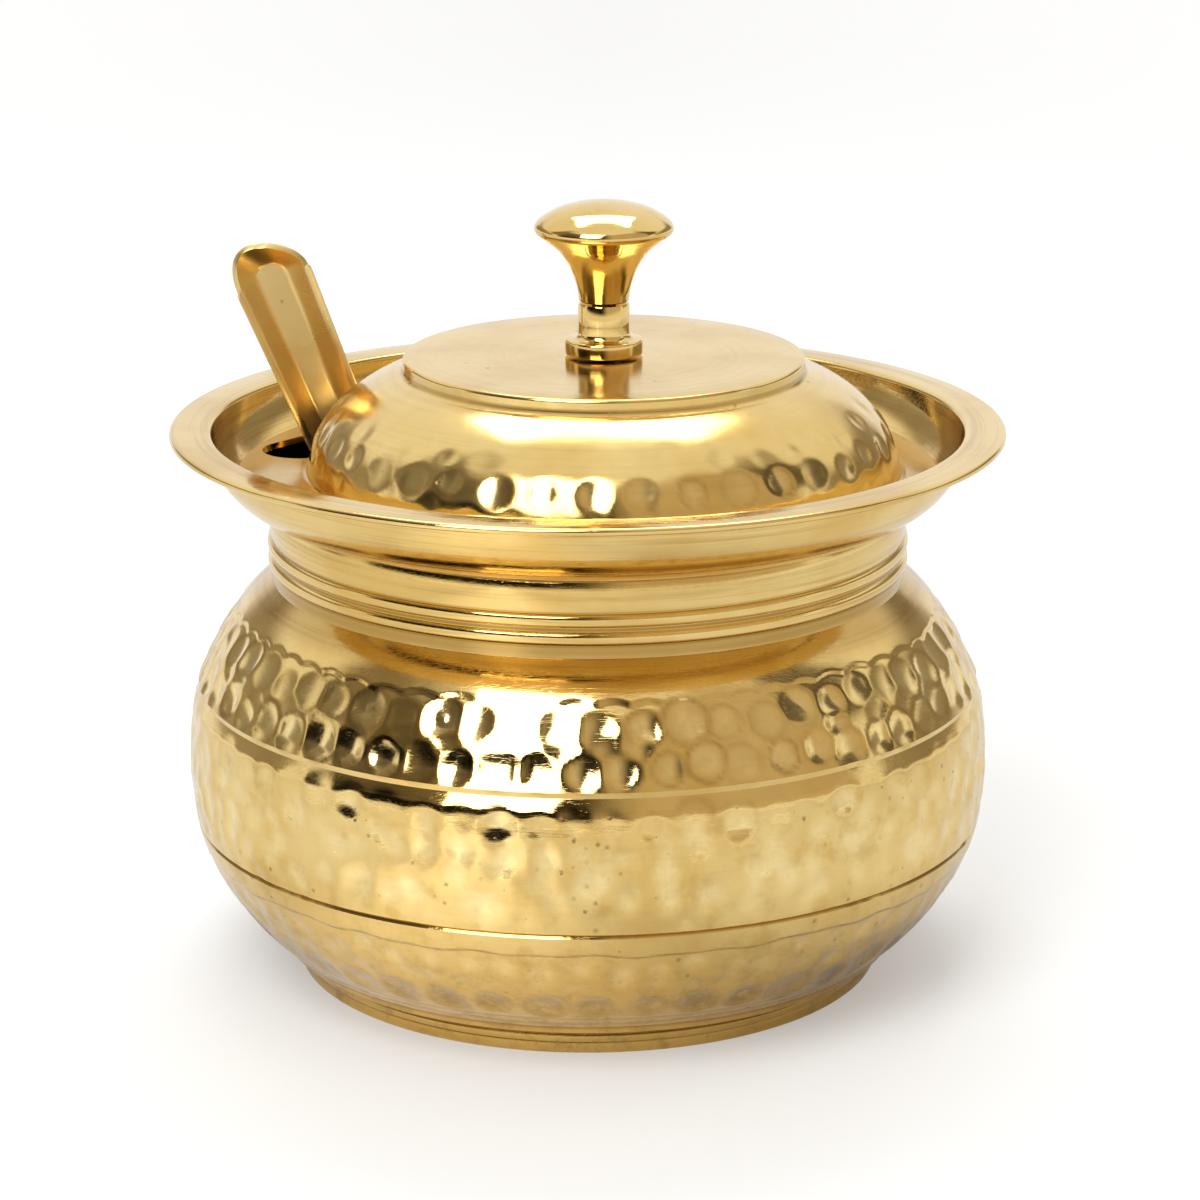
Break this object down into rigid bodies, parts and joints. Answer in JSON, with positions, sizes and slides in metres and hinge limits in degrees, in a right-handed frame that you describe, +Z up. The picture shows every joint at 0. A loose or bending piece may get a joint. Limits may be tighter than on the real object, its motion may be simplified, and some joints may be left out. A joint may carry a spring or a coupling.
{
  "type": "ghee pot",
  "caption": "Hammered brass pot on a low foot, with a beaded neck, a flared cup mouth, a domed knobbed lid and a trough-handled spoon leaning out of a slot.",
  "frame": {"origin": "centre of the foot ring on the surface that the pot stands on", "axes": "+Z up along the pot's axis, +X to the right of the front view, so that the spoon leans towards -X"},
  "size_m": [0.1204, 0.1204, 0.1127],
  "materials": {
    "polished_brass": "hammered and polished yellow brass",
    "satin_brass": "polished brass with fine turning marks",
    "inner_brass": "plain unpolished brass"
  },
  "bodies": {
    "pot": {"pot_body": "polished_brass", "foot_ring": "polished_brass"},
    "lid": {"lid_shell": "satin_brass", "knob_head": "polished_brass", "knob_base": "polished_brass", "knob_washer": "inner_brass", "knob_screw": "inner_brass"},
    "spoon": {"spoon": "satin_brass"}
  },
  "joints": [
    {"name": "lid_lift", "type": "slide", "parent": "pot", "child": "lid", "axis": [-0.3786, 0.0559, 0.9239], "range_m": [0, 0.045]},
    {"name": "spoon_slide", "type": "slide", "parent": "pot", "child": "spoon", "axis": [-0.3786, 0.0559, 0.9239], "range_m": [0, 0.03]}
  ]
}
